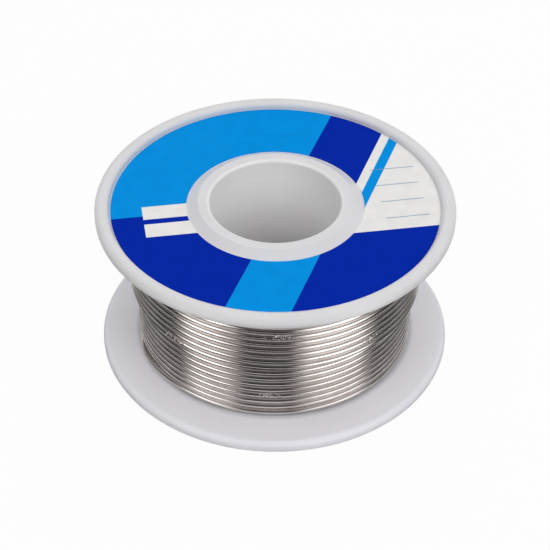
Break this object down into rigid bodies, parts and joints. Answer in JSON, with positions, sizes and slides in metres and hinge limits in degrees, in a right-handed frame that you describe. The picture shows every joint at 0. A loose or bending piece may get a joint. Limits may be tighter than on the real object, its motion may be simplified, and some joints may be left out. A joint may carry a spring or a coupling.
{
  "type": "solder wire spool",
  "caption": "Small flanged plastic reel with a plain spindle bore and a round face label, close-wound with soft solder wire.",
  "frame": {"origin": "centre of the lower rim's resting plane, on the axis of the spindle bore", "axes": "+Z along the spindle bore, from the rim it rests on towards the labelled flange; +X and +Y lie in the resting plane"},
  "size_m": [0.057, 0.057, 0.028],
  "materials": {
    "reel_plastic": "smooth moulded, slightly glossy",
    "solder": "bright drawn tin-rich solder",
    "label_print": "coated paper, printed in colour blocks"
  },
  "bodies": {
    "root": {"lower_reel_half": "reel_plastic", "upper_reel_half": "reel_plastic", "wire_inner_layers": "solder", "wire_outer_layer": "solder", "face_label": "label_print"}
  },
  "joints": []
}
